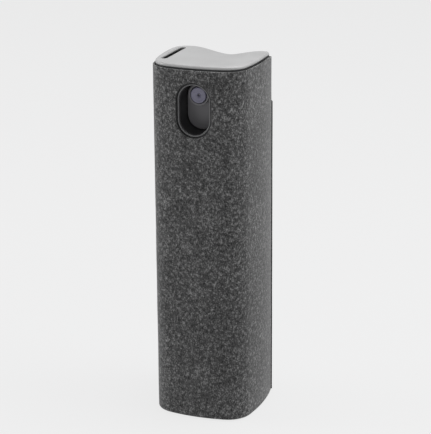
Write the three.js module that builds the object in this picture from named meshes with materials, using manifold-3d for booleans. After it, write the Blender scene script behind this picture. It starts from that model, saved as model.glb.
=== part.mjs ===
// Pocket lens cleaning spray, in millimetres, +Z up, nozzle facing -Y.
// A cloth-covered sleeve holds a lift-out bottle with a fine mist pump. The dished key that closes the
// sleeve's top is pressed down with the thumb, inside the cloth's free upper edge, and the nozzle sprays
// through the sleeve's oval window.
// The origin is the middle of the flat underside.
import * as THREE from "three";
import { mergeVertices } from "three/addons/utils/BufferGeometryUtils.js";
import Module from "manifold-3d";

const wasm = await Module();
wasm.setup();

// ---------- driving dimensions ----------

// Plan of the body: a crowned rectangle with round corners, measured over the cloth.
const bodyWidth = 26;
const bodyDepth = 28;
const cornerRadius = 6.2;
const faceCrown = 0.6;
const bodyHeight = 90; // up to the cloth's top edge at the front

// Thumb dish on the top, which opens towards the back.
const keyRise = 1.15; // the key's edge stands this far above the cloth
const dishDepth = 1.45;
const dishHalfWidth = 9.8;
const dishStartY = -11;
const dishFullY = 11;
const backDropStartY = 2;
const backDropRadius = 43;

// Sleeve.
const clothThickness = 0.45;
const clothLap = 0.3; // the cloth's overlapping end, round the back right corner
const clothLapWidth = 6.8;
const clothFoot = 0.3;
const shellWall = 0.5;
const baseFlange = 1.2;
const clothTurn = 0.25; // room round the flange for the cloth's lower edge
const baseFloor = 4.2;
const padRadius = 8.5;
const padThickness = 0.8;
const padProud = 0.3;

// Heights measured down from the cloth's top edge, so that a taller body holds a taller bottle.
const lapDrop = 12;
const windowDrop = 9.9;
const nozzleDrop = 6.85;
const slotFloorDrop = 2.8;
const ceilingDrop = 4; // the ceiling inside the key's skirt
const skirtFootDrop = 19;
const neckDrop = 25;

// Spray window in the front.
const windowWidth = 7.8; // clear opening inside the bezel
const windowHeight = 12.4;
const bezelWall = 0.35;
const bezelRecess = 0.55; // behind the cloth's face
const clothGroove = 0.33; // gap between the bezel and the cloth

// Clearances.
const bondGap = 0.05; // under the cloth
const fitGap = 0.1; // between pieces that are fixed together
const keyGap = 0.15; // round the key in the sleeve
const slideGap = 0.3; // between other pieces that move past each other
const bottleGap = 0.4; // round the bottle in the sleeve

// Thumb key: a dished plate pegged on the flange of the actuator's skirt.
const plateThickness = 0.8;
const flangeThickness = 0.35;
const keyTravel = 3;
const keyWall = 1.1;
const pegRadius = 1.1;
const pegLength = 1.5;
const pegX = 6.5;
const pegY = 4;
const keyEdge = 0.6; // rounding of the key's top edge
const wellDepth = 5.05; // oval well in the skirt's front, with the spray head's face behind it
const wellWall = 0.9;
const slotWidth = 1.6; // nail slot along the key's left side
const slotLength = 14.3;
const slotCentreY = -1.15;
const slotRim = 1.8; // the key's material left of the slot
const slotWeb = 0.35; // the plate's thickness beside the slot
const slotRelief = 0.6; // how far that thinner part reaches

// Nozzle and spray head.
const nozzleRadius = 2;
const nozzleProud = 2.5; // in front of the well's floor
const nozzleLength = 4.4;
const nozzleCupDepth = 1.1; // behind the face
const nozzleCupWall = 0.7;
const bossWall = 0.4; // round the nozzle on the spray head
const bossGroove = 0.2; // gap between them at the front
const bossGrooveDepth = 1;
const bossSetBack = 0.35; // behind the nozzle's face
const orificeRadius = 0.25;
const orificeFlare = 0.75;
const coreRadius = 0.9;
const headPostRadius = 3.5;
const headArmRadius = 2.7;
const headFace = 1; // thickness of its oval face
const headSocketDepth = 5.6;
const passageRadius = 0.6;

// Bottle.
const bottleWall = 1;
const shoulderHeight = 4.5;
const neckLength = 10.5;
const neckRadius = 7.2;
const neckWall = 1.3;
const neckBeadRise = 0.9;
const threadRadius = 0.55;
const threadPitch = 3;
const threadTurns = 1.5;

// Pump.
const closureSide = 1.25; // wall round the neck's thread
const closureWall = 1.1; // and over the neck
const closureRibs = 36;
const closureRibDepth = 0.25;
const closureHeight = 12;
const gasketThickness = 0.8;
const housingFlange = 1.2;
const housingWall = 1;
const chamberRadius = 3.1;
const chamberDepth = 17.6; // below the neck's top
const ballRadius = 1.4;
const ballSeatRadius = 1;
const ballLift = 0.8;
const tailLength = 6;
const stemRadius = 1.7;
const stemBore = 0.6;
const pistonLength = 4.4;
const plungerLength = 2.2;
const springWire = 0.3;
const springTurns = 6.5;
const tubeRadius = 1.25;
const tubeBore = 0.85;
const tubeFootGap = 1.6;

// Roundness of turned pieces and of the plan.
const turnSides = 32;
const cornerSteps = 6;
const faceSteps = 6;

// ---------- sizes that follow ----------

const top = bodyHeight + keyRise;
const lapTop = bodyHeight - lapDrop;
const windowZ = bodyHeight - windowDrop;
const nozzleZ = bodyHeight - nozzleDrop;
const slotFloor = bodyHeight - slotFloorDrop;
const keyCeiling = bodyHeight - ceilingDrop;
const keyBottom = bodyHeight - skirtFootDrop;
const neckTop = bodyHeight - neckDrop;
const neckBase = neckTop - neckLength;
const bottleShoulder = neckBase - shoulderHeight;
const chamberFloor = neckTop - chamberDepth;
const threadOuter = neckRadius + threadRadius;
const closureRadius = threadOuter + slideGap + closureSide;
const housingRadius = chamberRadius + housingWall;
const shellOuter = clothThickness + bondGap; // insets, measured in from the cloth's face
const shellInner = shellOuter + shellWall;
const plateInset = clothThickness + keyGap;
const skirtInset = shellInner + keyGap;
const bottleInset = shellInner + bottleGap;
const keyFront = -bodyDepth / 2 + skirtInset;
const wellFloorY = keyFront + wellDepth;
const nozzleFront = wellFloorY - nozzleProud;
const nozzleBack = nozzleFront + nozzleLength;
const bossFront = nozzleFront + bossSetBack;
const bossRadius = nozzleRadius + bossGroove + bossWall;
const skirtDrop = plateThickness + fitGap / 2; // the flange's top below the key's surface
const flangeDrop = skirtDrop + flangeThickness; // and its underside
const shellDrop = flangeDrop + keyTravel + fitGap; // the shell's top edge below the key's surface
const windowStraight = (windowHeight - windowWidth) / 2;
const bottleFoot = baseFloor + fitGap;
const gasketFoot = neckTop + fitGap;
const flangeFoot = gasketFoot + gasketThickness + fitGap;
const flangeTop = flangeFoot + housingFlange;
const closureTop = flangeTop + fitGap + closureWall;
const guideTop = closureTop + 1.4;
const headFoot = guideTop + keyTravel + slideGap;
const stemTop = headFoot + headSocketDepth - fitGap;
const pistonTop = flangeFoot - slideGap;
const pistonFoot = pistonTop - pistonLength;
const plungerFoot = pistonFoot - plungerLength;
const threadFoot = neckBase + 2.6;
const ballCentre = chamberFloor - 1.9;
const tailTop = ballCentre - 1.6;
const tailFoot = tailTop - tailLength;
const farAway = 200; // reach of cutting solids

// ---------- solids ----------

function solidOf(geometry) {
  const bare = new THREE.BufferGeometry().setAttribute("position", geometry.getAttribute("position"));
  if (geometry.index) bare.setIndex(geometry.index);
  const merged = mergeVertices(bare, 1e-4);
  const made = new wasm.Manifold(
    new wasm.Mesh({
      numProp: 3,
      vertProperties: merged.attributes.position.array,
      triVerts: new Uint32Array(merged.index.array),
    }),
  );
  return made;
}

function geometryOf(solid) {
  const mesh = solid.getMesh();
  const geometry = new THREE.BufferGeometry();
  geometry.setAttribute("position", new THREE.BufferAttribute(new Float32Array(mesh.vertProperties), 3));
  geometry.setIndex(new THREE.BufferAttribute(new Uint32Array(mesh.triVerts), 1));
  geometry.computeVertexNormals();
  return geometry;
}

// One face of the plan as points with their outward normals, bulging out by the crown.
function crownedFace(from, to, crown, outward) {
  const along = to.clone().sub(from);
  const half = along.length() / 2;
  along.normalize();
  const radius = (half * half + crown * crown) / (2 * crown);
  const reach = Math.asin(half / radius);
  const centre = from.clone().add(to).multiplyScalar(0.5).addScaledVector(outward, crown - radius);
  return Array.from({ length: faceSteps + 1 }, (_, i) => {
    const angle = reach * ((2 * i) / faceSteps - 1);
    const normal = outward.clone().multiplyScalar(Math.cos(angle)).addScaledVector(along, Math.sin(angle));
    return { at: centre.clone().addScaledVector(normal, radius), normal };
  });
}

// The plan's skeleton: every point with its normal. An outline at any inset keeps these normals.
function planSkeleton() {
  const x = bodyWidth / 2 - cornerRadius - faceCrown;
  const y = bodyDepth / 2 - cornerRadius - faceCrown;
  const corners = [
    new THREE.Vector2(-x, -y),
    new THREE.Vector2(x, -y),
    new THREE.Vector2(x, y),
    new THREE.Vector2(-x, y),
  ];
  const outwards = [
    new THREE.Vector2(0, -1),
    new THREE.Vector2(1, 0),
    new THREE.Vector2(0, 1),
    new THREE.Vector2(-1, 0),
  ];
  const faces = outwards.map((outward, i) =>
    crownedFace(corners[i], corners[(i + 1) % 4], faceCrown, outward),
  );
  const points = [];
  faces.forEach((face, i) => {
    points.push(...face);
    const end = face[faceSteps];
    const from = end.normal.angle();
    const to = faces[(i + 1) % 4][0].normal.angle();
    const sweep = (to - from + 2 * Math.PI) % (2 * Math.PI);
    for (let k = 1; k < cornerSteps; k++) {
      const angle = from + (sweep * k) / cornerSteps;
      points.push({ at: end.at, normal: new THREE.Vector2(Math.cos(angle), Math.sin(angle)) });
    }
  });
  return points;
}

const skeleton = planSkeleton();

function planOutline(inset) {
  return skeleton.map(({ at, normal }) => at.clone().addScaledVector(normal, cornerRadius - inset));
}

function prism(outline, low, high) {
  const shape = Array.isArray(outline) ? new THREE.Shape(outline) : outline;
  const depth = high - low;
  const geometry = new THREE.ExtrudeGeometry(shape, { depth, bevelEnabled: false, curveSegments: 10 });
  return solidOf(geometry.translate(0, 0, low));
}

function planPrism(inset, low, high) {
  return prism(planOutline(inset), low, high);
}

// A closed skin over rings of equal count, with flat ends.
function loft(rings) {
  const count = rings[0].length;
  const positions = rings.flat().flatMap((p) => [p.x, p.y, p.z]);
  const index = [];
  for (let r = 0; r + 1 < rings.length; r++) {
    for (let i = 0; i < count; i++) {
      const a = r * count + i;
      const b = r * count + ((i + 1) % count);
      index.push(a, b, b + count, a, b + count, a + count);
    }
  }
  const last = (rings.length - 1) * count;
  for (let i = 1; i + 1 < count; i++) {
    index.push(0, i + 1, i);
    index.push(last, last + i, last + i + 1);
  }
  const geometry = new THREE.BufferGeometry();
  geometry.setAttribute("position", new THREE.Float32BufferAttribute(positions, 3));
  geometry.setIndex(index);
  return solidOf(geometry);
}

// A turned solid about the Z axis from [radius, height] pairs.
function turned(profile) {
  const points = profile.map(([r, z]) => new THREE.Vector2(r, z));
  const onAxis = profile[0][0] === 0 && profile[profile.length - 1][0] === 0;
  if (!onAxis) points.push(points[0].clone());
  return solidOf(new THREE.LatheGeometry(points, turnSides).rotateX(Math.PI / 2));
}

function cylinder(radius, low, high) {
  return turned([
    [0, low],
    [radius, low],
    [radius, high],
    [0, high],
  ]);
}

function tube(inner, outer, low, high) {
  return turned([
    [inner, low],
    [outer, low],
    [outer, high],
    [inner, high],
  ]);
}

function box(lowX, highX, lowY, highY, lowZ, highZ) {
  const geometry = new THREE.BoxGeometry(highX - lowX, highY - lowY, highZ - lowZ);
  return solidOf(geometry.translate((lowX + highX) / 2, (lowY + highY) / 2, (lowZ + highZ) / 2));
}

// The window's upright oval grown by a margin, run through from yFront to yBack.
function windowOval(margin, yFront, yBack) {
  const shape = new THREE.Shape();
  const radius = windowWidth / 2 + margin;
  shape.absarc(0, windowStraight, radius, 0, Math.PI);
  shape.absarc(0, -windowStraight, radius, Math.PI, 2 * Math.PI);
  shape.closePath();
  const depth = yBack - yFront;
  const geometry = new THREE.ExtrudeGeometry(shape, { depth, bevelEnabled: false, curveSegments: 12 });
  return solidOf(geometry.rotateX(Math.PI / 2).translate(0, yBack, windowZ));
}

// A turned solid laid along Y, from [radius, y] pairs, at the nozzle's height.
function nozzleTurned(profile) {
  const upright = profile.map(([r, y]) => [r, -y]).reverse();
  return turned(upright).rotate([90, 0, 0]).translate([0, 0, nozzleZ]);
}

function nozzleBore(radius, yBack) {
  return nozzleTurned([
    [0, -farAway],
    [radius, -farAway],
    [radius, yBack],
    [0, yBack],
  ]);
}

class HelixCurve extends THREE.Curve {
  constructor(radius, foot, pitch, turns) {
    super();
    Object.assign(this, { radius, foot, pitch, turns });
  }
  getPoint(t, target = new THREE.Vector3()) {
    const angle = 2 * Math.PI * this.turns * t;
    return target.set(
      this.radius * Math.cos(angle),
      this.radius * Math.sin(angle),
      this.foot + this.pitch * this.turns * t,
    );
  }
}

function helix(radius, foot, pitch, turns, wire, sides, stepsPerTurn) {
  const section = new THREE.Shape(
    Array.from({ length: sides }, (_, i) => {
      const angle = (2 * Math.PI * i) / sides;
      return new THREE.Vector2(wire * Math.cos(angle), wire * Math.sin(angle));
    }),
  );
  const steps = Math.round(turns * stepsPerTurn);
  const extrudePath = new HelixCurve(radius, foot, pitch, turns);
  return solidOf(new THREE.ExtrudeGeometry(section, { steps, extrudePath, bevelEnabled: false }));
}

// ---------- the top's surface ----------

function smooth(t) {
  const s = Math.min(1, Math.max(0, t));
  return s * s * (3 - 2 * s);
}

// Height of the key over the plan: level at the front, dished and falling towards the back.
function topHeight(x, y) {
  const behind = Math.max(0, y - backDropStartY);
  const drop = (behind * behind) / (2 * backDropRadius);
  const across = Math.min(1, Math.abs(x) / dishHalfWidth);
  const dish = (dishDepth * (1 + Math.cos(Math.PI * across))) / 2;
  return top - drop - dish * smooth((y - dishStartY) / (dishFullY - dishStartY));
}

// Everything above the top's surface moved down by an amount.
function aboveTop(down) {
  const geometry = new THREE.BoxGeometry(bodyWidth + 4, bodyDepth + 4, 2, 16, 14, 1);
  const position = geometry.getAttribute("position");
  for (let i = 0; i < position.count; i++) {
    const low = position.getZ(i) < 0;
    position.setZ(i, low ? topHeight(position.getX(i), position.getY(i)) - down : top + 20);
  }
  return solidOf(geometry);
}

// ---------- sleeve ----------

function fabricWrap() {
  const lapStart = bodyWidth / 2 - clothLapWidth;
  const lap = planPrism(-clothLap, clothFoot, lapTop).intersect(
    box(lapStart, farAway, bodyDepth / 2 - cornerRadius, farAway, 0, farAway),
  );
  return planPrism(0, clothFoot, top)
    .add(lap)
    .subtract(planPrism(clothThickness, 0, top + 1))
    .subtract(aboveTop(keyRise))
    .subtract(windowOval(bezelWall + clothGroove, -farAway, 0));
}

function outerShell() {
  return planPrism(shellOuter, baseFlange + fitGap, top)
    .subtract(planPrism(shellInner, 0, top + 1))
    .subtract(aboveTop(shellDrop))
    .subtract(windowOval(bezelWall + fitGap, -farAway, 0));
}

function windowBezel() {
  return planPrism(bezelRecess, windowZ - windowHeight, windowZ + windowHeight)
    .subtract(planPrism(shellInner, 0, top))
    .intersect(windowOval(bezelWall, -farAway, 0))
    .subtract(windowOval(0, -farAway, 0));
}

function basePlug() {
  return planPrism(shellOuter + clothTurn, padProud, baseFlange)
    .add(planPrism(shellInner + fitGap, baseFlange - fitGap, baseFloor))
    .subtract(cylinder(padRadius + fitGap, 0, padThickness + fitGap));
}

function footPad() {
  return turned([
    [0, 0],
    [padRadius - 0.2, 0],
    [padRadius, 0.2],
    [padRadius, padThickness],
    [0, padThickness],
  ]);
}

// ---------- refill: bottle and pump ----------

// A ring between the bottle's plan and a circle, by share, at one height.
function bottleRing(inset, radius, share, height) {
  return skeleton.map(({ at, normal }) => {
    const square = at.clone().addScaledVector(normal, cornerRadius - inset);
    const round = square.clone().setLength(radius);
    const point = square.lerp(round, share);
    return new THREE.Vector3(point.x, point.y, height);
  });
}

function bottleSkin(wall, foot, neck, top) {
  const inset = bottleInset + wall;
  const lift = foot - bottleFoot;
  return loft([
    bottleRing(inset + 1.2, neck, 0, foot),
    bottleRing(inset + 0.3, neck, 0, foot + 0.5),
    bottleRing(inset, neck, 0, foot + 1.5),
    bottleRing(inset, neck, 0, bottleShoulder - lift),
    bottleRing(inset + 0.5, neck, 0.1, bottleShoulder + 1.4 - lift),
    bottleRing(inset + 1.4, neck, 0.4, bottleShoulder + 2.8 - lift),
    bottleRing(inset + 1.6, neck, 1, neckBase - lift),
    bottleRing(inset + 1.6, neck, 1, top),
  ]);
}

function bottle() {
  const outer = bottleSkin(0, bottleFoot, neckRadius, neckTop);
  const inner = bottleSkin(bottleWall, bottleFoot + bottleWall, neckRadius - neckWall, neckTop + 1);
  const bead = tube(neckRadius - 0.4, neckRadius + neckBeadRise, neckBase + 0.6, neckBase + 1.4);
  const thread = helix(neckRadius, threadFoot, threadPitch, threadTurns, threadRadius, 8, 20);
  return outer.add(bead).add(thread).subtract(inner);
}

function closure() {
  const outline = [];
  for (let i = 0; i < closureRibs; i++) {
    for (const [turn, radius] of [
      [0, closureRadius],
      [0.5, closureRadius],
      [0.6, closureRadius - closureRibDepth],
      [0.9, closureRadius - closureRibDepth],
    ]) {
      const angle = (2 * Math.PI * (i + turn)) / closureRibs;
      outline.push(new THREE.Vector2(radius * Math.cos(angle), radius * Math.sin(angle)));
    }
  }
  const foot = closureTop - closureHeight;
  return prism(outline, foot, closureTop)
    .subtract(cylinder(threadOuter + slideGap, foot - 1, closureTop - closureWall))
    .subtract(cylinder(housingRadius + fitGap, 0, farAway));
}

function neckGasket() {
  return tube(housingRadius + fitGap, threadOuter, gasketFoot, gasketFoot + gasketThickness);
}

function pumpHousing() {
  const seatFoot = ballCentre - 1.1;
  return turned([
    [tubeRadius + fitGap, tailFoot],
    [tubeRadius + 0.8, tailFoot],
    [tubeRadius + 1, tailTop],
    [housingRadius - 1, tailTop + 1.5],
    [housingRadius, chamberFloor],
    [housingRadius, flangeFoot],
    [threadOuter, flangeFoot],
    [threadOuter, flangeTop],
    [chamberRadius, flangeTop],
    [chamberRadius, chamberFloor],
    [ballRadius + 0.35, chamberFloor],
    [ballRadius + 0.35, ballCentre],
    [ballSeatRadius, seatFoot],
    [ballSeatRadius, tailTop],
    [tubeRadius + fitGap, tailTop],
  ]);
}

function stemSeal() {
  const low = pistonTop + fitGap;
  return tube(stemRadius + fitGap, chamberRadius - fitGap, low, low + 0.8);
}

function stemGuide() {
  const low = pistonTop + fitGap + 0.8 + fitGap;
  return turned([
    [stemRadius + slideGap / 2, low],
    [chamberRadius - fitGap, low],
    [chamberRadius - fitGap, flangeTop + fitGap],
    [housingRadius - fitGap, flangeTop + fitGap],
    [housingRadius - fitGap, guideTop],
    [stemRadius + slideGap / 2, guideTop],
  ]);
}

function dipTube() {
  return tube(tubeBore, tubeRadius, bottleFoot + bottleWall + tubeFootGap, tailTop - fitGap);
}

function pumpSpring() {
  const radius = ballRadius + 0.35 + springWire + 0.2;
  const foot = chamberFloor + springWire + fitGap;
  const top = plungerFoot - springWire - fitGap;
  return helix(radius, foot, (top - foot) / springTurns, springTurns, springWire, 6, 14);
}

function checkBall() {
  return solidOf(new THREE.SphereGeometry(ballRadius, 16, 10).translate(0, 0, ballCentre));
}

// ---------- key and what moves with it ----------

function nailSlot(margin = 0) {
  const centreX = -bodyWidth / 2 + plateInset + slotRim + slotWidth / 2;
  const straight = (slotLength - slotWidth) / 2;
  const radius = slotWidth / 2 + margin;
  const shape = new THREE.Shape();
  shape.absarc(centreX, slotCentreY + straight, radius, 0, Math.PI);
  shape.absarc(centreX, slotCentreY - straight, radius, Math.PI, 2 * Math.PI);
  shape.closePath();
  return prism(shape, slotFloor, top + 1);
}

function pegs(radius, down) {
  const peg = cylinder(radius, keyCeiling, top);
  return peg
    .translate([pegX, pegY, 0])
    .add(peg.translate([-pegX, pegY, 0]))
    .intersect(aboveTop(skirtDrop + down))
    .subtract(aboveTop(plateThickness / 2));
}

// The plate's outer body, its top edge rounded by stepping the plan in as it nears the surface.
function plateBody() {
  const steps = 3;
  const layers = Array.from({ length: steps + 1 }, (_, i) => {
    const angle = (Math.PI / 2) * (i / steps);
    const inset = plateInset + keyEdge * (1 - Math.cos(angle));
    const down = keyEdge * (1 - Math.sin(angle));
    return { inset, down };
  });
  const rings = layers.map(({ inset, down }) =>
    planOutline(inset).map((p) => new THREE.Vector3(p.x, p.y, topHeight(p.x, p.y) - down)),
  );
  const foot = planOutline(plateInset).map((p) => new THREE.Vector3(p.x, p.y, keyBottom));
  const lid = planOutline(plateInset + keyEdge).map((p) => new THREE.Vector3(p.x, p.y, top + 1));
  return loft([foot, ...rings, lid]).subtract(aboveTop(0));
}

function thumbKey() {
  return plateBody()
    .intersect(aboveTop(plateThickness))
    .add(pegs(pegRadius, pegLength))
    .subtract(nailSlot())
    .subtract(nailSlot(slotRelief).subtract(aboveTop(slotWeb)));
}

function keySkirt() {
  const flange = planPrism(plateInset, keyCeiling, top).intersect(aboveTop(flangeDrop));
  return planPrism(skirtInset, keyBottom, top)
    .add(flange)
    .subtract(aboveTop(skirtDrop))
    .subtract(planPrism(skirtInset + keyWall, 0, keyCeiling))
    .add(windowOval(wellWall - fitGap, keyFront + 0.5, wellFloorY + headFace))
    .subtract(windowOval(-fitGap, -farAway, wellFloorY + headFace + 1))
    .subtract(pegs(pegRadius + fitGap, pegLength + fitGap))
    .subtract(nailSlot());
}

function sprayHead() {
  const arm = nozzleTurned([
    [0, wellFloorY + headFace / 2],
    [headArmRadius, wellFloorY + headFace / 2],
    [headArmRadius, 0],
    [0, 0],
  ]);
  const boss = nozzleTurned([
    [0, bossFront],
    [bossRadius, bossFront],
    [bossRadius, wellFloorY + headFace / 2],
    [0, wellFloorY + headFace / 2],
  ]);
  return cylinder(headPostRadius, headFoot, keyCeiling - fitGap)
    .add(arm)
    .add(boss)
    .add(windowOval(-2 * fitGap, wellFloorY, wellFloorY + headFace))
    .subtract(nozzleBore(nozzleRadius + fitGap, nozzleBack + fitGap))
    .subtract(nozzleBore(nozzleRadius + bossGroove, bossFront + bossGrooveDepth))
    .subtract(cylinder(stemRadius + fitGap, 0, headFoot + headSocketDepth))
    .subtract(cylinder(passageRadius, 0, nozzleZ))
    .subtract(nozzleBore(passageRadius, 0));
}

// A cup with a flared orifice in its front face, open to the spray head behind.
function nozzleInsert() {
  return nozzleTurned([
    [orificeRadius, nozzleFront + 0.5],
    [orificeFlare, nozzleFront],
    [nozzleRadius - 0.2, nozzleFront],
    [nozzleRadius, nozzleFront + 0.2],
    [nozzleRadius, nozzleBack],
    [nozzleRadius - nozzleCupWall, nozzleBack],
    [nozzleRadius - nozzleCupWall, nozzleFront + nozzleCupDepth],
    [orificeRadius, nozzleFront + nozzleCupDepth],
  ]);
}

// The swirl core inside the cup, with a flat along its length for the liquid.
function nozzleCore() {
  const front = nozzleFront + nozzleCupDepth + fitGap;
  const pin = nozzleTurned([
    [0, front],
    [coreRadius, front],
    [coreRadius, nozzleBack],
    [0, nozzleBack],
  ]);
  return pin.subtract(box(-1, 1, -farAway, 0, nozzleZ + 0.6 * coreRadius, farAway));
}

function pumpStem() {
  return tube(stemBore, stemRadius, pistonFoot, stemTop);
}

function piston() {
  const lip = chamberRadius - 0.1;
  return turned([
    [stemRadius + fitGap, pistonFoot],
    [lip - 0.8, pistonFoot],
    [lip, pistonFoot - 0.3],
    [lip, pistonFoot + 0.6],
    [lip - 0.6, pistonFoot + 1.2],
    [lip - 0.6, pistonTop - 0.8],
    [lip, pistonTop - 0.3],
    [lip, pistonTop],
    [stemRadius + fitGap, pistonTop],
  ]);
}

function plunger() {
  const top = pistonFoot - fitGap;
  return turned([
    [0, plungerFoot - 2.4],
    [0.9, plungerFoot - 2.4],
    [1.2, plungerFoot - 2],
    [1.2, plungerFoot],
    [chamberRadius - 0.4, plungerFoot],
    [chamberRadius - 0.4, plungerFoot + 0.8],
    [1.6, plungerFoot + 1.2],
    [1.6, top],
    [0, top],
  ]);
}

// ---------- the assembly ----------

function material(color, roughness, metalness = 0, opacity = 1) {
  const transparent = opacity < 1;
  return new THREE.MeshStandardMaterial({ color, roughness, metalness, opacity, transparent });
}

const cloth = material(0x4b4b4d, 0.95);
const greyPlastic = material(0x97979a, 0.5);
const darkPlastic = material(0x39393c, 0.55);
const blackPlastic = material(0x1d1d1f, 0.6);
const nozzlePlastic = material(0x6f7088, 0.35);
const clearPlastic = material(0xdfe4e6, 0.2, 0, 0.5);
const milkPlastic = material(0xe6e6e2, 0.45);
const seal = material(0xc8c8c4, 0.8);
const steel = material(0xb9bcc0, 0.25, 1);

const pieces = {
  fabric_wrap: [fabricWrap, cloth],
  outer_shell: [outerShell, blackPlastic],
  window_bezel: [windowBezel, darkPlastic],
  base_plug: [basePlug, darkPlastic],
  foot_pad: [footPad, seal],
  bottle: [bottle, clearPlastic],
  closure: [closure, darkPlastic],
  neck_gasket: [neckGasket, seal],
  pump_housing: [pumpHousing, milkPlastic],
  stem_guide: [stemGuide, milkPlastic],
  stem_seal: [stemSeal, seal],
  dip_tube: [dipTube, clearPlastic],
  pump_spring: [pumpSpring, steel],
  check_ball: [checkBall, steel],
  thumb_key: [thumbKey, greyPlastic],
  key_skirt: [keySkirt, darkPlastic],
  spray_head: [sprayHead, darkPlastic],
  nozzle_insert: [nozzleInsert, nozzlePlastic],
  nozzle_core: [nozzleCore, milkPlastic],
  pump_stem: [pumpStem, milkPlastic],
  piston: [piston, milkPlastic],
  plunger: [plunger, milkPlastic],
};

const spray = new THREE.Group();
for (const [name, [make, finish]] of Object.entries(pieces)) {
  const mesh = new THREE.Mesh(geometryOf(make()), finish);
  mesh.name = name;
  spray.add(mesh);
}

export default spray;
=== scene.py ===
import math

import bmesh
import bpy
from mathutils import Matrix, Vector, noise


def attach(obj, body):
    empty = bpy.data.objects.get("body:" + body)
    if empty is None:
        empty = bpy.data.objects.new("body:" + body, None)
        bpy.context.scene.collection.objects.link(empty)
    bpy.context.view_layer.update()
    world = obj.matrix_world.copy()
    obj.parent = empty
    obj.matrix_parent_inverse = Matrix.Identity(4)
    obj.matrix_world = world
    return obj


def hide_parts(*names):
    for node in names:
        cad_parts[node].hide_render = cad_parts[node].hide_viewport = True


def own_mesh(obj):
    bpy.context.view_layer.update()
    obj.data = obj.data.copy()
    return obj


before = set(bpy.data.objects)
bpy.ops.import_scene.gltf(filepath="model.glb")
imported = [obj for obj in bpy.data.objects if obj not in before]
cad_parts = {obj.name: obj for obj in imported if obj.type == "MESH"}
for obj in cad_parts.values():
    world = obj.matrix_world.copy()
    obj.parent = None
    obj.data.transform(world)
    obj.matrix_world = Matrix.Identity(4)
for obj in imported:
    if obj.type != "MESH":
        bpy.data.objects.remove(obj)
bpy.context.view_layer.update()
print("packed model loaded")

# width and depth are over the cloth, and height is up to the top of its edge
column = {"width": 0.026, "depth": 0.028, "corner": 0.0062, "crown": 0.0006, "height": 0.09, "around": 240}
dish = {"rise": 0.00115, "deep": 0.00145, "halfWidth": 0.0098, "startY": -0.011, "fullY": 0.011,
        "dropY": 0.002, "dropRadius": 0.043}
window = {"z": 0.0801, "halfWidth": 0.0039, "straight": 0.0023, "around": 96}


# plan, top surface and window outline, shared by the pieces

def columnArcs():
    halfX = column["width"] / 2 - column["corner"] - column["crown"]
    halfY = column["depth"] / 2 - column["corner"] - column["crown"]
    arcs = []
    for turn in range(4):
        along, across = (halfX, halfY) if turn % 2 == 0 else (halfY, halfX)
        radius = (along ** 2 + column["crown"] ** 2) / (2 * column["crown"])
        nextRadius = (across ** 2 + column["crown"] ** 2) / (2 * column["crown"])
        facing = math.radians(90 * turn - 90)
        reach, nextReach = math.asin(along / radius), math.asin(across / nextRadius)
        outward = Vector((math.cos(facing), math.sin(facing)))
        sideways = Vector((-outward.y, outward.x))
        arcs.append((outward * (across + column["crown"] - radius), radius, facing - reach, facing + reach))
        nextFacing = facing + math.pi / 2 - nextReach
        arcs.append((outward * across + sideways * along, 0, facing + reach, nextFacing))
    return arcs


def columnSpokes():
    # evenly spaced points round the plan, each with the way it faces
    arcs = columnArcs()
    lengths = [(radius + column["corner"]) * (end - start) for _, radius, start, end in arcs]
    step = sum(lengths) / column["around"]
    spokes = []
    for i in range(column["around"]):
        walked, k = i * step, 0
        while walked > lengths[k]:
            walked -= lengths[k]
            k += 1
        centre, radius, start, end = arcs[k]
        angle = start + (end - start) * walked / lengths[k]
        facing = Vector((math.cos(angle), math.sin(angle)))
        spokes.append((centre + facing * radius, facing))
    return spokes


spokes = columnSpokes()


def planRing(inset, height, ripple=0):
    ring = []
    for centre, facing in spokes:
        p = centre + facing * (column["corner"] - inset)
        z = height(p.x, p.y) if callable(height) else height
        if ripple:
            p = p + facing * (ripple * noise.noise(Vector((p.x, p.y, z)) * 90))
        ring.append(Vector((p.x, p.y, z)))
    return ring


def roundRing(radius, height):
    ring = []
    for centre, facing in spokes:
        p = (centre + facing * column["corner"]).normalized() * radius
        ring.append(Vector((p.x, p.y, height)))
    return ring


def mixRing(inset, radius, share, height):
    return [a.lerp(b, share) for a, b in zip(planRing(inset, height), roundRing(radius, height))]


def eased(t):
    t = min(1, max(0, t))
    return t * t * (3 - 2 * t)


def topHeight(x, y):
    drop = max(0, y - dish["dropY"]) ** 2 / (2 * dish["dropRadius"])
    across = min(1, abs(x) / dish["halfWidth"])
    hollow = dish["deep"] * (1 + math.cos(math.pi * across)) / 2
    share = eased((y - dish["startY"]) / (dish["fullY"] - dish["startY"]))
    return column["height"] + dish["rise"] - drop - hollow * share


def clothEdge(x, y):
    return topHeight(x, y) - dish["rise"]


def frontY(x, inset):
    centre, radius, _, _ = columnArcs()[0]
    return centre.y - math.sqrt((radius + column["corner"] - inset) ** 2 - x * x)


def ovalRing(margin, depth):
    # depth is a fixed y, or a function of x
    ring = []
    radius = window["halfWidth"] + margin
    for i in range(window["around"]):
        angle = 2 * math.pi * (i + 0.5) / window["around"]
        x, z = radius * math.cos(angle), radius * math.sin(angle)
        z += window["straight"] * (1 if z > 0 else -1)
        ring.append(Vector((x, depth(x) if callable(depth) else depth, window["z"] + z)))
    return ring


def faceOval(margin, inset):
    return ovalRing(margin, lambda x: frontY(x, inset))


# modelling helpers

def startAlone():
    if bpy.context.object and bpy.context.object.mode != "OBJECT":
        bpy.ops.object.mode_set(mode="OBJECT")
    bpy.ops.object.select_all(action="DESELECT")


def placeSelected(mesh, before, ring):
    # moves each selected point from its place in one ring to its place in the next
    key = {tuple(round(c, 8) for c in p): i for i, p in enumerate(before)}
    for v in mesh.verts:
        if v.select:
            v.co = ring[key[tuple(round(c, 8) for c in v.co)]]


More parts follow.
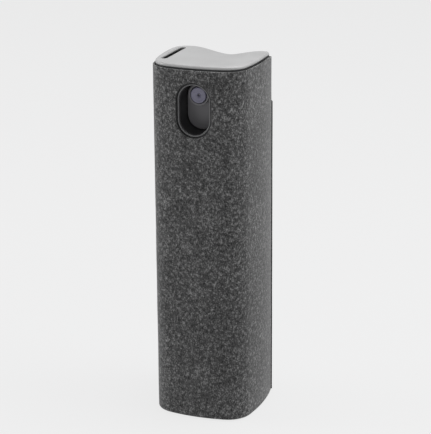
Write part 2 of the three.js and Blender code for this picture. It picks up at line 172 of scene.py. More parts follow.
def skin(name, rings, ends="loop"):
    # a ring of edges extruded from each place to the next; the ends are joined into a loop, or capped
    startAlone()
    rings = [[Vector(tuple(round(c, 9) for c in p)) for p in ring] for ring in rings]
    bpy.ops.mesh.primitive_circle_add(vertices=len(rings[0]), radius=0.01, fill_type="NOTHING")
    piece = bpy.context.object
    piece.name = name
    for v, p in zip(piece.data.vertices, rings[0]):
        v.co = p
    bpy.ops.object.mode_set(mode="EDIT")
    bpy.ops.mesh.select_mode(type="EDGE")
    bpy.ops.mesh.select_all(action="SELECT")
    if ends != "loop":
        bpy.ops.mesh.edge_face_add()
    for before, ring in zip(rings, rings[1:]):
        bpy.ops.mesh.extrude_edges_move()
        placeSelected(bmesh.from_edit_mesh(piece.data), before, ring)
        bmesh.update_edit_mesh(piece.data)
    if ends == "caps":
        bpy.ops.mesh.edge_face_add()
    if ends == "loop":
        for e in bmesh.from_edit_mesh(piece.data).edges:
            e.select = e.is_boundary
        bpy.ops.mesh.bridge_edge_loops()
    bpy.ops.mesh.select_mode(type="VERT")
    bpy.ops.mesh.select_all(action="SELECT")
    bpy.ops.mesh.normals_make_consistent(inside=False)
    bpy.ops.object.mode_set(mode="OBJECT")
    return piece


def curvedEnd(piece, pick, down):
    # the one face that skin leaves on an end becomes an even net that follows the top's surface
    startAlone()
    piece.select_set(True)
    bpy.context.view_layer.objects.active = piece
    bpy.ops.object.mode_set(mode="EDIT")
    bpy.ops.mesh.select_mode(type="FACE")
    bpy.ops.mesh.select_all(action="DESELECT")
    mesh = bmesh.from_edit_mesh(piece.data)
    end = pick((f for f in mesh.faces if len(f.verts) > 4), key=lambda f: f.calc_center_median().z)
    end.select = True
    bmesh.update_edit_mesh(piece.data)
    bpy.ops.mesh.delete(type="ONLY_FACE")
    bpy.ops.mesh.select_mode(type="EDGE")
    bpy.ops.mesh.select_all(action="DESELECT")
    bpy.ops.mesh.select_non_manifold()
    bpy.ops.mesh.fill_grid(span=column["around"] // 4)
    mesh = bmesh.from_edit_mesh(piece.data)
    for v in mesh.verts:
        if v.select:
            v.co.z = topHeight(v.co.x, v.co.y) - down
    bmesh.update_edit_mesh(piece.data)
    bpy.ops.mesh.select_all(action="SELECT")
    bpy.ops.mesh.normals_make_consistent(inside=False)
    bpy.ops.object.mode_set(mode="OBJECT")


def cylinderAt(radius, depth, place, lying=False):
    startAlone()
    turn = (math.pi / 2, 0, 0) if lying else (0, 0, 0)
    bpy.ops.mesh.primitive_cylinder_add(
        vertices=64, radius=radius, depth=depth, location=place, rotation=turn)
    bpy.ops.object.transform_apply(location=True, rotation=True)
    return bpy.context.object


def cut(piece, tool, way="DIFFERENCE"):
    startAlone()
    joint = piece.modifiers.new("cut", "BOOLEAN")
    joint.operation, joint.solver, joint.object = way, "EXACT", tool
    bpy.context.view_layer.objects.active = piece
    bpy.ops.object.modifier_apply(modifier=joint.name)
    bpy.data.objects.remove(tool)


def smoothTo(piece, degrees):
    startAlone()
    piece.select_set(True)
    bpy.context.view_layer.objects.active = piece
    bpy.ops.object.shade_smooth_by_angle(angle=math.radians(degrees))


def rounding(radius, steps, turn=1):
    # (inwards, down) pairs round a quarter circle, from the side up to the top, or back with turn=-1
    pairs = []
    for i in range(steps + 1):
        angle = math.pi / 2 * i / steps
        pairs.append((radius * (1 - math.cos(angle)), radius * (1 - math.sin(angle))))
    return pairs if turn > 0 else pairs[::-1]


def finished(piece, body, material, nodes=(), degrees=35):
    smoothTo(piece, degrees)
    piece.data.materials.clear()
    piece.data.materials.append(material)
    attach(piece, body)
    if nodes:
        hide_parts(*nodes)
    return piece


# materials

def newMaterial(name):
    material = bpy.data.materials.new(name)
    material.use_nodes = True
    nodes, links = material.node_tree.nodes, material.node_tree.links
    place = nodes.new("ShaderNodeTexCoord").outputs["Object"]
    return material, nodes, links, nodes["Principled BSDF"], place


def grain(nodes, links, place, size, detail=2, rough=0.5, stretch=None, turn=(0, 0, 0), shift=(0, 0, 0)):
    # noise whose blotches are about size across, in metres
    spot = nodes.new("ShaderNodeMapping")
    spot.inputs["Location"].default_value = shift
    spot.inputs["Rotation"].default_value = turn
    spot.inputs["Scale"].default_value = stretch or (1, 1, 1)
    links.new(place, spot.inputs["Vector"])
    speckle = nodes.new("ShaderNodeTexNoise")
    speckle.inputs["Scale"].default_value = 1 / size
    speckle.inputs["Detail"].default_value = detail
    speckle.inputs["Roughness"].default_value = rough
    links.new(spot.outputs["Vector"], speckle.inputs["Vector"])
    return speckle.outputs["Fac"]


def spread(nodes, links, value, low, high, outLow=0, outHigh=1):
    band = nodes.new("ShaderNodeMapRange")
    band.inputs["From Min"].default_value = low
    band.inputs["From Max"].default_value = high
    band.inputs["To Min"].default_value = outLow
    band.inputs["To Max"].default_value = outHigh
    links.new(value, band.inputs["Value"])
    return band.outputs["Result"]


def arithmetic(nodes, links, how, a, b):
    step = nodes.new("ShaderNodeMath")
    step.operation = how
    for socket, value in zip(step.inputs, (a, b)):
        if isinstance(value, (int, float)):
            socket.default_value = value
        else:
            links.new(value, socket)
    return step.outputs["Value"]


def tones(nodes, links, value, stops):
    ramp = nodes.new("ShaderNodeValToRGB")
    colours = ramp.color_ramp.elements
    while len(colours) < len(stops):
        colours.new(0.5)
    for stop, (at, colour) in zip(colours, stops):
        stop.position = at
        stop.color = (*colour, 1)
    links.new(value, ramp.inputs["Fac"])
    return ramp.outputs["Color"]


def raised(nodes, links, value, shader, distance, strength=1):
    bump = nodes.new("ShaderNodeBump")
    bump.inputs["Distance"].default_value = distance
    bump.inputs["Strength"].default_value = strength
    links.new(value, bump.inputs["Height"])
    links.new(bump.outputs["Normal"], shader.inputs["Normal"])


def feltedCloth():
    # short melange fibres, light and dark, matted every way
    felt = {"fibre": 0.00024, "speckle": 0.00034, "mottle": 0.0008, "wide": 0.008,
            "bump": 0.00016, "sheen": 0.22, "dark": (0.014, 0.014, 0.0142),
            "middle": (0.062, 0.062, 0.0622), "light": (0.24, 0.24, 0.24)}
    material, nodes, links, shader, place = newMaterial("feltedCloth")
    fibres = None
    for i, turn in enumerate((0, 36, 72, 108, 144)):
        lay = (math.radians(turn), math.radians(turn + 20), 0)
        hair = grain(nodes, links, place, felt["fibre"], 1, 0.5, (1, 1, 0.4), lay, (i, 0, 0))
        keep = "MAXIMUM" if i % 2 else "MINIMUM"
        fibres = hair if fibres is None else arithmetic(nodes, links, keep, fibres, hair)
    shares = ((fibres, 0.3),
              (grain(nodes, links, place, felt["speckle"], 2, 0.6), 0.35),
              (grain(nodes, links, place, felt["mottle"], 2, 0.5), 0.28),
              (grain(nodes, links, place, felt["wide"], 2, 0.5), 0.07))
    mixed = None
    for layer, share in shares:
        part = arithmetic(nodes, links, "MULTIPLY", layer, share)
        mixed = part if mixed is None else arithmetic(nodes, links, "ADD", mixed, part)
    stops = [(0.38, felt["dark"]), (0.5, felt["middle"]), (0.62, felt["light"])]
    colour = tones(nodes, links, mixed, stops)
    links.new(colour, shader.inputs["Base Color"])
    shader.inputs["Roughness"].default_value = 0.95
    shader.inputs["Specular IOR Level"].default_value = 0.2
    shader.inputs["Sheen Weight"].default_value = felt["sheen"]
    shader.inputs["Sheen Roughness"].default_value = 0.45
    raised(nodes, links, mixed, shader, felt["bump"], 0.8)
    return material


def mouldedPlastic(name, colour, roughness, wear=0.06, texture=0.00012, lift=0.000006):
    # fine spark-eroded mould texture, faint flow marks and handling scuffs
    material, nodes, links, shader, place = newMaterial(name)
    fine = grain(nodes, links, place, texture, 3, 0.6)
    flow = grain(nodes, links, place, 0.006, 3, 0.55, (1, 1, 0.4))
    scratches = grain(nodes, links, place, 0.0007, 6, 0.75, (1, 0.12, 1), (0, 0, 0.5))
    scuffs = spread(nodes, links, scratches, 0.62, 0.74)
    broad = arithmetic(nodes, links, "MULTIPLY", flow, 0.7)
    shade = arithmetic(nodes, links, "ADD", broad, arithmetic(nodes, links, "MULTIPLY", fine, 0.3))
    low = tuple(c * (1 - wear) for c in colour)
    high = tuple(min(1, c * (1 + wear)) for c in colour)
    links.new(tones(nodes, links, shade, [(0.3, low), (0.7, high)]), shader.inputs["Base Color"])
    worn = arithmetic(nodes, links, "ADD", arithmetic(nodes, links, "MULTIPLY", flow, 0.8), scuffs)
    rough = spread(nodes, links, worn, 0.2, 1.2, roughness - 0.05, roughness + 0.12)
    links.new(rough, shader.inputs["Roughness"])
    raised(nodes, links, fine, shader, lift)
    return material


def clearPlastic(name, colour, roughness):
    # blown wall: slightly uneven, a little cloudy
    material, nodes, links, shader, place = newMaterial(name)
    cloud = grain(nodes, links, place, 0.004, 3, 0.5)
    stops = [(0.3, tuple(c * 0.96 for c in colour)), (0.7, colour)]
    links.new(tones(nodes, links, cloud, stops), shader.inputs["Base Color"])
    rough = spread(nodes, links, cloud, 0.3, 0.7, roughness, roughness + 0.12)
    links.new(rough, shader.inputs["Roughness"])
    shader.inputs["Transmission Weight"].default_value = 0.8
    shader.inputs["IOR"].default_value = 1.49
    raised(nodes, links, cloud, shader, 0.00005)
    return material


def drawnSteel():
    material, nodes, links, shader, place = newMaterial("drawnSteel")
    lines = grain(nodes, links, place, 0.00025, 4, 0.6, (1, 1, 0.15))
    stops = [(0.3, (0.42, 0.43, 0.45)), (0.7, (0.66, 0.67, 0.69))]
    links.new(tones(nodes, links, lines, stops), shader.inputs["Base Color"])
    links.new(spread(nodes, links, lines, 0.3, 0.7, 0.22, 0.4), shader.inputs["Roughness"])
    shader.inputs["Metallic"].default_value = 1
    raised(nodes, links, lines, shader, 0.000004)
    return material


def softSeal(name, colour):
    material, nodes, links, shader, place = newMaterial(name)
    pores = grain(nodes, links, place, 0.00035, 4, 0.65)
    stops = [(0.35, tuple(c * 0.8 for c in colour)), (0.65, colour)]
    links.new(tones(nodes, links, pores, stops), shader.inputs["Base Color"])
    links.new(spread(nodes, links, pores, 0.3, 0.7, 0.7, 0.95), shader.inputs["Roughness"])
    raised(nodes, links, pores, shader, 0.00004)
    return material


finishes = {
    "cloth": feltedCloth(),
    "key": mouldedPlastic("lightGreyKey", (0.33, 0.33, 0.33), 0.42),
    "skirt": mouldedPlastic("blackActuator", (0.014, 0.014, 0.015), 0.45),
    "head": mouldedPlastic("darkGreyHead", (0.15, 0.147, 0.155), 0.42),
    "shell": mouldedPlastic("blackShell", (0.012, 0.012, 0.013), 0.5),
    "bezel": mouldedPlastic("greyBezel", (0.11, 0.11, 0.112), 0.28),
    "dark": mouldedPlastic("darkGreyPlastic", (0.04, 0.04, 0.042), 0.5),
    "nozzle": mouldedPlastic("bluishNozzle", (0.19, 0.185, 0.255), 0.28),
    "milk": mouldedPlastic("milkyPlastic", (0.78, 0.78, 0.74), 0.4, 0.04),
    "bottle": clearPlastic("cloudyBottle", (0.86, 0.88, 0.9), 0.12),
    "seal": softSeal("softSeal", (0.07, 0.07, 0.072)),
    "steel": drawnSteel(),
}
print("finishes made")


# the sleeve

rowStep = 0.0021  # height between the cloth's rows of points


def clothCover():
    cloth = {"thick": 0.00045, "foot": 0.0003, "edge": 0.00013, "turnUnder": 0.0003, "uneven": 0.00004,
             "margin": 0.00068, "cutEdge": 0.00014, "rows": 39, "innerFoot": 0.0012}
    thick, first = cloth["thick"], cloth["foot"] + cloth["turnUnder"]
    rings = [planRing(i, cloth["foot"] + d) for i, d in rounding(cloth["turnUnder"], 4, -1)]
    for k in range(1, cloth["rows"] + 1):
        rings.append(planRing(0, first + rowStep * k, cloth["uneven"]))
    last = first + rowStep * cloth["rows"]
    for share in (0.35, 0.7):
        up = lambda x, y: last + share * (clothEdge(x, y) - cloth["edge"] - last)
        rings.append(planRing(0, up, cloth["uneven"]))
    rings += [planRing(i, lambda x, y: clothEdge(x, y) - d) for i, d in rounding(cloth["edge"], 4)]
    for i, d in rounding(cloth["edge"], 4, -1):
        rings.append(planRing(thick - i, lambda x, y: clothEdge(x, y) - d))
    rings += [planRing(thick, last), planRing(thick, cloth["innerFoot"])]
    rings += [planRing(thick + cloth["turnUnder"] - 0.0001, cloth["foot"] + 0.0002)]
    cover = skin("clothCover", rings)
    edge = cloth["cutEdge"]
    edges = [(edge - i, edge - d) for i, d in rounding(edge, 4)]
    profile = [(0.0005, -0.001)]
    profile += [(m + 0.00001 * (m == edge), d - 0.00001) for m, d in edges]
    profile += [(0, 0.0012)]
    tool = skin("clothTool", [faceOval(cloth["margin"] + m, d) for m, d in profile], "caps")
    cut(cover, tool)
    return finished(cover, "sleeve", finishes["cloth"], ["fabric_wrap"])


def clothLap():
    # the outer end of the cloth, brought over the first round the back right corner
    lap = {"thick": 0.0003, "sunk": 0.00006, "top": 0.078, "foot": 0.0003, "fromX": 0.0062, "fromY": 0.0095,
           "edge": 0.0001, "uneven": 0.00003, "rows": 36}
    rings = [planRing(i - lap["thick"], lap["foot"] + d) for i, d in rounding(lap["edge"], 2, -1)]
    for k in range(1, lap["rows"] + 1):
        rings.append(planRing(-lap["thick"], rowStep * k, lap["uneven"]))
    rings += [planRing(i - lap["thick"], lap["top"] - d) for i, d in rounding(lap["edge"], 2)]
    rings += [planRing(lap["sunk"], lap["top"]), planRing(lap["sunk"], lap["foot"])]
    strip = skin("clothLap", rings)
    for point, facing in (((lap["fromX"], 0, 0), (1, 0, 0)), ((0, lap["fromY"], 0), (0, 1, 0))):
        bpy.ops.object.mode_set(mode="EDIT")
        bpy.ops.mesh.select_all(action="SELECT")
        bpy.ops.mesh.bisect(plane_co=point, plane_no=facing, use_fill=True, clear_inner=True)
        bpy.ops.object.mode_set(mode="OBJECT")
    return finished(strip, "sleeve", finishes["cloth"], ["fabric_wrap"])


def shellTube():
    shell = {"outside": 0.0005, "inside": 0.001, "foot": 0.0013, "high": 0.08, "drop": 0.0043,
             "edge": 0.0001, "margin": 0.00045}
    lip = lambda x, y: topHeight(x, y) - shell["drop"]
    rings = [planRing(shell["outside"], shell["foot"]), planRing(shell["outside"], shell["high"])]
    for i, d in rounding(shell["edge"], 2):
        rings.append(planRing(shell["outside"] + i, lambda x, y: lip(x, y) - d))
    for i, d in rounding(shell["edge"], 2, -1):
        rings.append(planRing(shell["inside"] - i, lambda x, y: lip(x, y) - d))
    rings += [planRing(shell["inside"], shell["high"]), planRing(shell["inside"], shell["foot"])]
    tube = skin("shellTube", rings)
    tool = [faceOval(shell["margin"], depth) for depth in (-0.001, 0.002)]
    cut(tube, skin("shellTool", tool, "caps"))
    return finished(tube, "sleeve", finishes["shell"], ["outer_shell"])


def windowRim():
    rim = {"wall": 0.00035, "front": 0.00055, "back": 0.00099, "edge": 0.00014}
    profile = [(0, rim["back"])]
    profile += [(i, rim["front"] + d) for i, d in rounding(rim["edge"], 3)]
    profile += [(rim["wall"] - i, rim["front"] + d) for i, d in rounding(rim["edge"], 3, -1)]
    profile += [(rim["wall"], rim["back"])]
    ring = skin("windowRim", [faceOval(m, d) for m, d in profile])
    return finished(ring, "sleeve", finishes["bezel"], ["window_bezel"])


def basePlug():
    plug = {"outside": 0.00075, "inside": 0.0011, "foot": 0.0003, "ledge": 0.0012, "top": 0.0042,
            "recess": 0.0086, "roof": 0.0009, "edge": 0.0003, "bevel": 0.0001}
    rings = [roundRing(plug["recess"], plug["roof"])]
    rings += [roundRing(plug["recess"], plug["foot"] + plug["bevel"])]
    rings += [roundRing(plug["recess"] + plug["bevel"], plug["foot"])]
    rings += [planRing(plug["outside"] + i, plug["foot"] + d) for i, d in rounding(plug["edge"], 3, -1)]
    rings += [planRing(plug["outside"], plug["ledge"]), planRing(plug["inside"], plug["ledge"])]
    rings += [planRing(plug["inside"] + i, plug["top"] - d) for i, d in rounding(plug["edge"], 2)]
    piece = skin("basePlug", rings, "caps")
    return finished(piece, "sleeve", finishes["dark"], ["base_plug"])


def footPad():
    pad = {"radius": 0.0085, "thick": 0.0008, "edge": 0.0002}
    rings = [roundRing(pad["radius"] - i, d) for i, d in rounding(pad["edge"], 3, -1)]
    piece = skin("footPad", rings + [roundRing(pad["radius"], pad["thick"])], "caps")
    return finished(piece, "sleeve", finishes["seal"], ["foot_pad"])


cover = clothCover()
lap = clothLap()
shellTube()
windowRim()
basePlug()
footPad()
print("sleeve made")


# the key, its actuator and the nozzle

def slotTool(floor, edge, relief=0, web=0):
    # the nail slot's cutter, flared by its rounded edge, and wider under the thin web of plate beside it
    slot = {"centreX": -0.0098, "centreY": -0.00115, "halfWidth": 0.0008, "straight": 0.00635,
            "around": 64}

    def slotRing(margin, down):
        ring = []
        for i in range(slot["around"]):
            angle = 2 * math.pi * (i + 0.5) / slot["around"]
            end = 1 if math.sin(angle) > 0 else -1
            x = slot["centreX"] + (slot["halfWidth"] + margin) * math.cos(angle)
            y = slot["centreY"] + (slot["halfWidth"] + margin) * math.sin(angle) + slot["straight"] * end
            ring.append(Vector((x, y, floor if down is None else topHeight(x, y) - down)))
        return ring

    flare = [(0, 1), (0.05, 0.7), (0.18, 0.42), (0.42, 0.18), (0.75, 0.04), (1.1, -0.05)]
    rings = [slotRing(relief, None)]
    if relief:
        rings += [slotRing(relief, web), slotRing(0, web)]
    rings += [slotRing(m * edge, d * edge) for m, d in flare]
    rings += [slotRing(1.3 * edge, -0.001)]
    return skin("slotTool", rings, "caps")


pegPlaces = [(-0.0065, 0.004), (0.0065, 0.004)]
nozzleZ = 0.08315


def topKey():
    key = {"inset": 0.0006, "thick": 0.0008, "edge": 0.00052, "underEdge": 0.0001,
           "slotEdge": 0.00016, "slotFloor": 0.0862, "relief": 0.0006, "web": 0.00035,
           "peg": 0.0011, "pegReach": 0.0017, "pegSunk": 0.0003}
    under = lambda x, y: topHeight(x, y) - key["thick"]
    rings = []
    for i, d in rounding(key["underEdge"], 2, -1):
        rings.append(planRing(key["inset"] + i, lambda x, y: under(x, y) + d))
    for i, d in rounding(key["edge"], 6):
        rings.append(planRing(key["inset"] + i, lambda x, y: topHeight(x, y) - d))
    plate = skin("topKey", rings, "caps")
    curvedEnd(plate, max, 0)
    curvedEnd(plate, min, key["thick"])
    for x, y in pegPlaces:
        middle = (x, y, under(x, y) - key["pegReach"] / 2 + key["pegSunk"])
        cut(plate, cylinderAt(key["peg"], key["pegReach"], middle), "UNION")
    cut(plate, slotTool(key["slotFloor"], key["slotEdge"], key["relief"], key["web"]))
    return finished(plate, "press", finishes["key"], ["thumb_key"], 30)


def actuatorSkirt():
    skirt = {"inset": 0.00115, "flangeInset": 0.0006, "wall": 0.0011, "foot": 0.071, "ceiling": 0.086,
             "drop": 0.00085, "flange": 0.00035, "edge": 0.0003, "wellBack": -0.0068,
             "wellFront": -0.01235, "wellWall": 0.0008, "wellEdge": 0.00018, "slotFloor": 0.0872,
             "pegHole": 0.0012, "pegDepth": 0.0022, "pegDown": 0.0013}
    inner = skirt["inset"] + skirt["wall"]
    under = lambda x, y: topHeight(x, y) - skirt["drop"] - skirt["flange"]
    rings = [planRing(inner, skirt["ceiling"])]
    rings += [planRing(inner - i, skirt["foot"] + d) for i, d in rounding(skirt["edge"], 3)]
    rings += [planRing(skirt["inset"] + i, skirt["foot"] + d) for i, d in rounding(skirt["edge"], 3, -1)]
    rings += [planRing(skirt["inset"], under), planRing(skirt["flangeInset"], under)]
    rings += [planRing(skirt["flangeInset"], lambda x, y: topHeight(x, y) - skirt["drop"])]
    piece = skin("actuatorSkirt", rings, "caps")
    curvedEnd(piece, max, skirt["drop"])
    front = lambda x: frontY(x, skirt["inset"])
    block = [ovalRing(skirt["wellWall"], y) for y in (skirt["wellFront"], skirt["wellBack"])]
    cut(piece, skin("wellBlock", block, "caps"), "UNION")
    e = skirt["wellEdge"]
    well = [ovalRing(0.0004, -0.0145), ovalRing(e * 1.1 - 0.0001, lambda x: front(x) - 0.05 * e)]
    for m, d in ((0.75, 0.04), (0.42, 0.18), (0.18, 0.42), (0.05, 0.7), (0, 1)):
        well.append(ovalRing(m * e - 0.0001, lambda x: front(x) + d * e))
    cut(piece, skin("wellTool", well + [ovalRing(-0.0001, skirt["wellBack"] + 0.001)], "caps"))
    for x, y in pegPlaces:
        middle = (x, y, topHeight(x, y) - skirt["pegDown"])
        cut(piece, cylinderAt(skirt["pegHole"], skirt["pegDepth"], middle))
    cut(piece, slotTool(skirt["slotFloor"], 0))
    return finished(piece, "press", finishes["skirt"], ["key_skirt"], 30)


def sprayHead():
    # an upright post with a sideways arm, whose oval face closes the well
    head = {"post": 0.0035, "foot": 0.0731, "top": 0.0859, "arm": 0.0027, "faceY": -0.0078, "face": 0.001,
            "margin": -0.0002, "edge": 0.00016, "socket": 0.0018, "socketFoot": 0.07, "socketTop": 0.0787,
            "bore": 0.0021, "boreBack": -0.0058, "passage": 0.0006, "passageFoot": 0.075,
            "passageLength": 0.006, "boss": 0.0026, "bossFront": -0.00995, "bossEdge": 0.00006,
            "groove": 0.0022, "grooveBack": -0.00895, "clear": 0.012}
    height = head["top"] - head["foot"]
    post = cylinderAt(head["post"], height, (0, 0, (head["top"] + head["foot"]) / 2))
    post.name = "sprayHead"
    back = head["faceY"] + head["face"]
    armFront = head["faceY"] + head["face"] / 2
    cut(post, cylinderAt(head["arm"], -armFront, (0, armFront / 2, nozzleZ), True), "UNION")
    face = [ovalRing(head["margin"] - i, head["faceY"] + d) for i, d in rounding(head["edge"], 4)]
    cut(post, skin("headFace", [ovalRing(head["margin"], back)] + face, "caps"), "UNION")
    bossEdge = rounding(head["bossEdge"], 3, -1)
    boss = [nozzleRing(head["boss"] - i, head["bossFront"] + d) for i, d in bossEdge]
    cut(post, skin("nozzleBoss", boss + [nozzleRing(head["boss"], armFront)], "caps"), "UNION")
    for radius, inner in ((head["groove"], head["grooveBack"]), (head["bore"], head["boreBack"])):
        length = inner + head["clear"]
        cut(post, cylinderAt(radius, length, (0, inner - length / 2, nozzleZ), True))
    for radius, foot, top in ((head["socket"], head["socketFoot"], head["socketTop"]),
                              (head["passage"], head["passageFoot"], nozzleZ)):
        cut(post, cylinderAt(radius, top - foot, (0, 0, (top + foot) / 2)))
    length = head["passageLength"]
    cut(post, cylinderAt(head["passage"], length, (0, -length / 2, nozzleZ), True))
    return finished(post, "press", finishes["head"], ["spray_head"], 30)


def nozzleRing(radius, y, around=72):
    ring = []
    for i in range(around):
        angle = 2 * math.pi * i / around
        ring.append(Vector((radius * math.cos(angle), y, nozzleZ + radius * math.sin(angle))))
    return ring


def nozzleCup():
    # front face with a shallow dish, a raised lip and the flared orifice
    front = -0.0103
    profile = [(0.00025, 0.0005), (0.00028, 0.0004), (0.0005, 0.00022), (0.00075, 0.00012),
               (0.0011, 0.00008), (0.00145, 0.00008), (0.00158, 0.00002), (0.0017, 0),
               (0.00184, 0.00003), (0.00194, 0.0001), (0.002, 0.00022), (0.002, 0.0043),
               (0.0019, 0.0044), (0.0013, 0.0044), (0.0013, 0.0011), (0.00025, 0.0011)]
    cup = skin("nozzleCup", [nozzleRing(r, front + y) for r, y in profile])
    return finished(cup, "press", finishes["nozzle"], ["nozzle_insert"], 40)


topKey()
actuatorSkirt()
sprayHead()
nozzleCup()
print("key and nozzle made")


# the bottle and the pump inside

def refillBottle():
    bottle = {"inset": 0.0014, "wall": 0.001, "foot": 0.0043, "shoulder": 0.05, "neckFoot": 0.0545,
              "neck": 0.0072, "neckWall": 0.0013}

    def side(wall, foot, neck, lift):
        inset = bottle["inset"] + wall
        corner = ((0.0012, 0), (0.00055, 0.00015), (0.00015, 0.00055), (0, 0.0013))
        rings = [planRing(inset + i, foot + d) for i, d in corner]
        rings += [planRing(inset, foot + 0.004 * k) for k in range(1, 11)]
        for t in (0, 0.12, 0.25, 0.4, 0.55, 0.7, 0.82, 0.92, 1):
            share = eased(t)
            rise = bottle["neckFoot"] - bottle["shoulder"]
            up = bottle["shoulder"] + rise * (1 - (1 - t) ** 1.6) - lift
            rings.append(mixRing(inset + 0.0016 * t, neck, share, up))
        return rings

    r, wall = bottle["neck"], bottle["wall"]
    outer = side(0, bottle["foot"], r, 0)
    inner = side(wall, bottle["foot"] + wall, r - bottle["neckWall"], wall * 0.6)
    # out round the neck's bead, up the neck and over its lip: step out from the radius, height
    neck = [(0, 0.0551), (0.0007, 0.0552), (0.0009, 0.0554), (0.0009, 0.0557), (0.0007, 0.0559), (0, 0.056),
            (0, 0.0647), (-0.0001, 0.0649), (-0.0003, 0.065), (-0.001, 0.065), (-0.0012, 0.0649),
            (-0.0013, 0.0647)]
    rings = outer + [roundRing(r + out, z) for out, z in neck] + inner[::-1]
    piece = skin("refillBottle", rings, "caps")
    return finished(piece, "refill", finishes["bottle"], ["bottle"], 50)


def neckThread():
    # one and a half turns wound up the neck, its ends sunk in the wall
    thread = {"radius": 0.0072, "wire": 0.00055, "pitch": 0.003, "turns": 1.5, "foot": 0.0571,
              "steps": 108}
    startAlone()
    bpy.ops.mesh.primitive_circle_add(
        vertices=14, radius=thread["wire"], fill_type="NOTHING",
        location=(thread["radius"], 0, thread["foot"]), rotation=(math.pi / 2, 0, 0))
    piece = bpy.context.object
    piece.name = "neckThread"
    bpy.ops.object.transform_apply(location=True, rotation=True)
    wind = piece.modifiers.new("wind", "SCREW")
    wind.angle = 2 * math.pi * thread["turns"]
    wind.screw_offset = thread["pitch"] * thread["turns"]
    wind.steps = wind.render_steps = thread["steps"]
    wind.use_merge_vertices = False
    bpy.ops.object.modifier_apply(modifier=wind.name)
    bpy.ops.object.mode_set(mode="EDIT")
    bpy.ops.mesh.select_all(action="DESELECT")
    bpy.ops.mesh.select_mode(type="EDGE")
    bpy.ops.mesh.select_non_manifold()
    bpy.ops.mesh.edge_face_add()
    bpy.ops.mesh.select_all(action="SELECT")
    bpy.ops.mesh.normals_make_consistent(inside=False)
    bpy.ops.object.mode_set(mode="OBJECT")
    return finished(piece, "refill", finishes["bottle"], ["bottle"], 50)


def smoothCopy(node, name, body, material, degrees=32):
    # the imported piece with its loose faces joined, so that turned walls shade round
    startAlone()
    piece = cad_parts[node].copy()
    piece.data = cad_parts[node].data.copy()
    piece.name = name
    piece.parent = None
    for key in list(piece.keys()):
        del piece[key]
    bpy.context.scene.collection.objects.link(piece)
    piece.select_set(True)
    bpy.context.view_layer.objects.active = piece
    bpy.ops.object.mode_set(mode="EDIT")
    bpy.ops.mesh.select_all(action="SELECT")
    bpy.ops.mesh.remove_doubles(threshold=0.000001)
    bpy.ops.mesh.customdata_custom_splitnormals_clear()
    bpy.ops.object.mode_set(mode="OBJECT")
    return finished(piece, body, material, [node], degrees)


def pumpSpring():
    # the imported coil, joined and shaded round, with a mesh of its own
    piece = smoothCopy("pump_spring", "pumpSpring", "pump", finishes["steel"], 60)
    bpy.context.view_layer.update()
    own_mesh(piece)


refillBottle()
neckThread()
smoothCopy("closure", "neckClosure", "closure", finishes["dark"])
smoothCopy("neck_gasket", "neckGasket", "pump", finishes["seal"])
smoothCopy("pump_housing", "pumpHousing", "pump", finishes["milk"])
smoothCopy("stem_guide", "stemGuide", "pump", finishes["milk"])
smoothCopy("stem_seal", "stemSeal", "pump", finishes["seal"])
smoothCopy("dip_tube", "dipTube", "pump", finishes["bottle"])
pumpSpring()
smoothCopy("check_ball", "checkBall", "ball", finishes["steel"], 60)
smoothCopy("nozzle_core", "nozzleCore", "press", finishes["milk"])
smoothCopy("pump_stem", "pumpStem", "press", finishes["milk"])
smoothCopy("piston", "pistonRing", "press", finishes["milk"])
smoothCopy("plunger", "springPlunger", "press", finishes["milk"])
print("bottle and pump made")


# studio

def paleFloor():
    floorLook = {"size": 6, "colour": (0.06, 0.06, 0.061), "glow": 0.77}
    startAlone()
    bpy.ops.mesh.primitive_plane_add(size=floorLook["size"], location=(0, 0, 0))
    floor = bpy.context.object
    floor.name = "paleFloor"
    material, nodes, links, shader, place = newMaterial("paleFloor")
    shader.inputs["Base Color"].default_value = (*floorLook["colour"], 1)
    shader.inputs["Roughness"].default_value = 0.9
    shader.inputs["Specular IOR Level"].default_value = 0
    shader.inputs["Emission Color"].default_value = (1, 1, 1, 1)
    shader.inputs["Emission Strength"].default_value = floorLook["glow"]
    floor.data.materials.append(material)


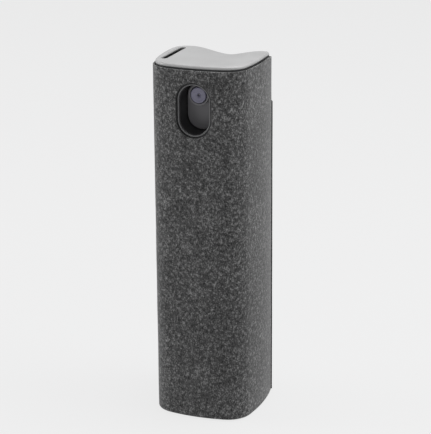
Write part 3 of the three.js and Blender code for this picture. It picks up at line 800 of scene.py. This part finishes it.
def softLights():
    # name: place, size and power; all are aimed at the middle of the column
    lamps = {
        "topSoftbox": ((0.05, 0.1, 0.75), 0.5, 5.0),
        "rightSoftbox": ((0.28, 0.05, 0.3), 0.2, 0.75),
        "leftSoftbox": ((-0.6, -0.15, 0.25), 0.35, 2.2),
        "frontFill": ((0.1, -0.9, 0.35), 0.5, 0.8),
    }
    for name, (place, size, power) in lamps.items():
        lamp = bpy.data.lights.new(name, "AREA")
        lamp.shape, lamp.size, lamp.energy = "SQUARE", size, power
        holder = bpy.data.objects.new(name, lamp)
        holder.location = place
        holder.rotation_mode = "QUATERNION"
        towards = Vector((0, 0, 0.05)) - Vector(place)
        holder.rotation_quaternion = towards.to_track_quat("-Z", "Y")
        bpy.context.scene.collection.objects.link(holder)
    world = bpy.data.worlds.new("studio")
    world.use_nodes = True
    sky = world.node_tree.nodes["Background"]
    sky.inputs["Color"].default_value = (0.93, 0.93, 0.94, 1)
    sky.inputs["Strength"].default_value = 0.35
    bpy.context.scene.world = world
    bpy.context.scene.view_settings.view_transform = "Standard"


def standingCamera():
    view = {"azimuth": 20.526, "elevation": 18.408, "distance": 0.44547, "aimRight": 0.000362,
            "aimUp": 0.004263, "roll": -0.451, "lens": 146.39}
    a, e, r = (math.radians(view[k]) for k in ("azimuth", "elevation", "roll"))
    middle = Vector((0, 0, column["height"] / 2))
    outward = Vector((math.sin(a) * math.cos(e), -math.cos(a) * math.cos(e), math.sin(e)))
    place = middle + outward * view["distance"]
    sideways = Vector((math.cos(a), math.sin(a), 0)) * view["aimRight"]
    aim = middle + sideways + Vector((0, 0, view["aimUp"]))
    back = (place - aim).normalized()
    right = Vector((0, 0, 1)).cross(back).normalized()
    up = back.cross(right)
    turnedRight = right * math.cos(r) + up * math.sin(r)
    turnedUp = up * math.cos(r) - right * math.sin(r)
    camera = bpy.data.cameras.new("camera")
    camera.lens, camera.sensor_width, camera.sensor_fit = view["lens"], 36, "AUTO"
    camera.clip_start, camera.clip_end = 0.01, 20
    holder = bpy.data.objects.new("camera", camera)
    holder.matrix_world = Matrix((turnedRight, turnedUp, back)).transposed().to_4x4()
    holder.location = place
    bpy.context.scene.collection.objects.link(holder)
    bpy.context.scene.camera = holder


paleFloor()
softLights()
standingCamera()
print("studio made")
